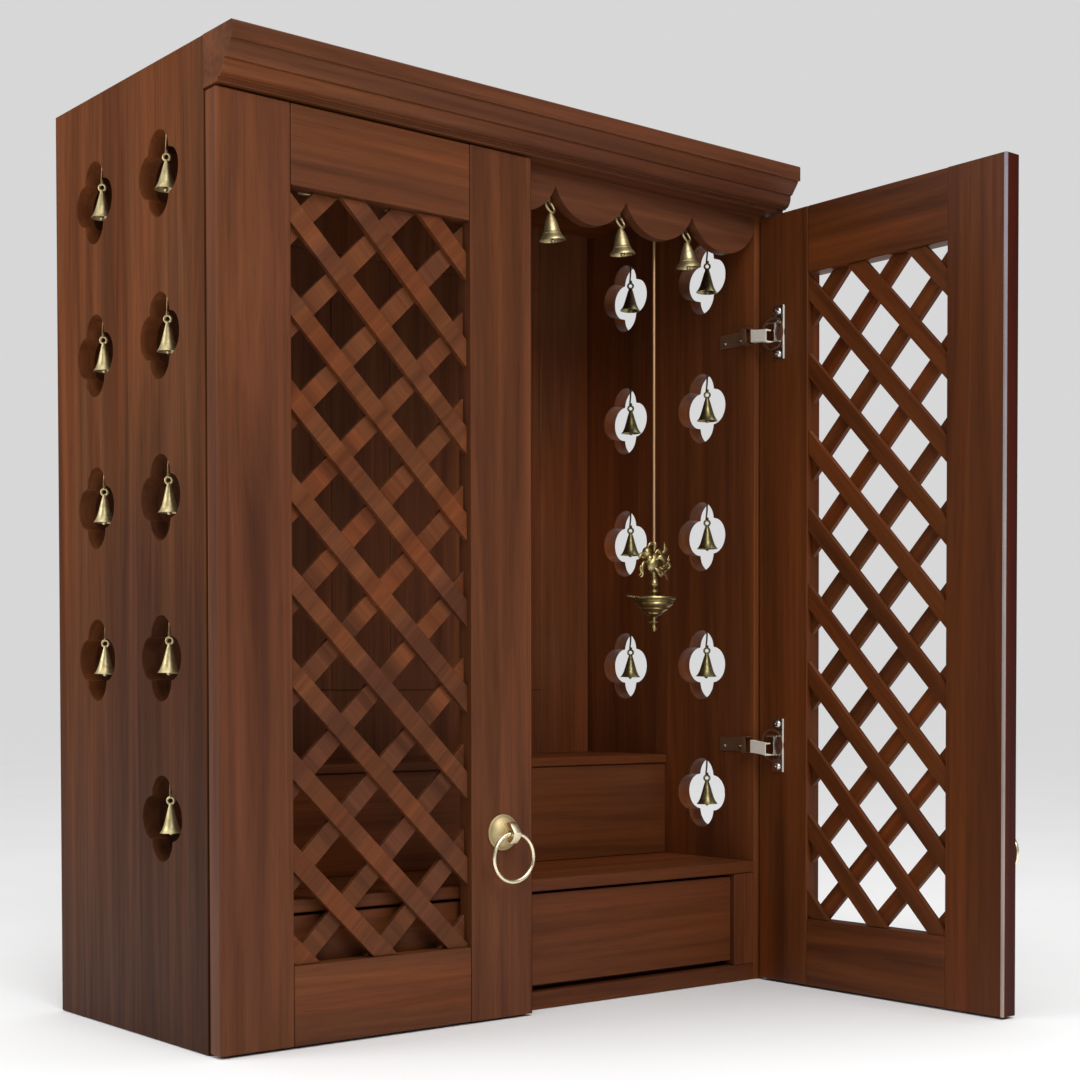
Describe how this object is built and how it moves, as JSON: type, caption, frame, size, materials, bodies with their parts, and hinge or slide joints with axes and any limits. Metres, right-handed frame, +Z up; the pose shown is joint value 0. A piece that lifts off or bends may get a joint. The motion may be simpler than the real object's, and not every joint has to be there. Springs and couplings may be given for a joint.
{
  "type": "household altar cabinet",
  "caption": "Wooden household altar cabinet with lattice doors, pierced sides hung with small bells, a stepped shelf, a drawer and a hanging lamp.",
  "frame": {"origin": "centre of the footprint, on the cabinet's underside", "axes": "+Z up, -Y out of the front, +X to the right when facing the front"},
  "size_m": [0.7333, 0.6705, 0.914],
  "materials": {
    "wood": "satin lacquer over dark stain",
    "bell_brass": "light satin brass",
    "polished_brass": "polished",
    "antique_brass": "antique, darkened in the hollows",
    "chrome": "bright plated steel"
  },
  "bodies": {
    "cabinet": {"side_left": "wood", "side_right": "wood", "top_board": "wood", "bottom_board": "wood", "back_panel": "wood", "cornice": "wood", "valance": "wood", "deck_board": "wood", "step_riser": "wood", "step_tread": "wood", "drawer": "wood", "drawer_stile_left": "wood", "drawer_stile_right": "wood", "left_upper_hinge_arm": "chrome", "left_lower_hinge_arm": "chrome", "right_upper_hinge_arm": "chrome", "right_lower_hinge_arm": "chrome", "left_bell_front_1": "bell_brass", "left_bell_front_2": "bell_brass", "left_bell_front_3": "bell_brass", "left_bell_front_4": "bell_brass", "left_bell_front_5": "bell_brass", "left_bell_back_1": "bell_brass", "left_bell_back_2": "bell_brass", "left_bell_back_3": "bell_brass", "left_bell_back_4": "bell_brass", "right_bell_front_1": "bell_brass", "right_bell_front_2": "bell_brass", "right_bell_front_3": "bell_brass", "right_bell_front_4": "bell_brass", "right_bell_front_5": "bell_brass", "right_bell_back_1": "bell_brass", "right_bell_back_2": "bell_brass", "right_bell_back_3": "bell_brass", "right_bell_back_4": "bell_brass", "valance_bell_1": "bell_brass", "valance_bell_2": "bell_brass", "valance_bell_3": "bell_brass", "valance_bell_4": "bell_brass", "valance_bell_5": "bell_brass", "valance_bell_6": "bell_brass", "hanging_lamp": "antique_brass"},
    "left_door": {"left_door_hinge_stile": "wood", "left_door_free_stile": "wood", "left_door_top_rail": "wood", "left_door_bottom_rail": "wood", "left_door_lattice": "wood", "left_upper_hinge_cup": "chrome", "left_lower_hinge_cup": "chrome", "left_pull_rosette": "polished_brass"},
    "left_ring": {"left_pull_ring": "polished_brass"},
    "right_door": {"right_door_hinge_stile": "wood", "right_door_free_stile": "wood", "right_door_top_rail": "wood", "right_door_bottom_rail": "wood", "right_door_lattice": "wood", "right_upper_hinge_cup": "chrome", "right_lower_hinge_cup": "chrome", "right_pull_rosette": "polished_brass"},
    "right_ring": {"right_pull_ring": "polished_brass"}
  },
  "joints": [
    {"name": "left_door_hinge", "type": "hinge", "parent": "cabinet", "child": "left_door", "pos_m": [-0.3445, -0.169, 0.433], "axis": [0, 0, -1], "range_deg": [0, 105]},
    {"name": "right_door_hinge", "type": "hinge", "parent": "cabinet", "child": "right_door", "pos_m": [0.3445, -0.169, 0.433], "axis": [0, 0, 1], "range_deg": [-90, 15]},
    {"name": "left_ring_swing", "type": "hinge", "parent": "left_door", "child": "left_ring", "pos_m": [-0.0395, -0.2018, 0.188], "axis": [-1, 0, 0], "range_deg": [0, 80]},
    {"name": "right_ring_swing", "type": "hinge", "parent": "right_door", "child": "right_ring", "pos_m": [0.3773, -0.474, 0.188], "axis": [0, -1, 0], "range_deg": [0, 80]}
  ]
}
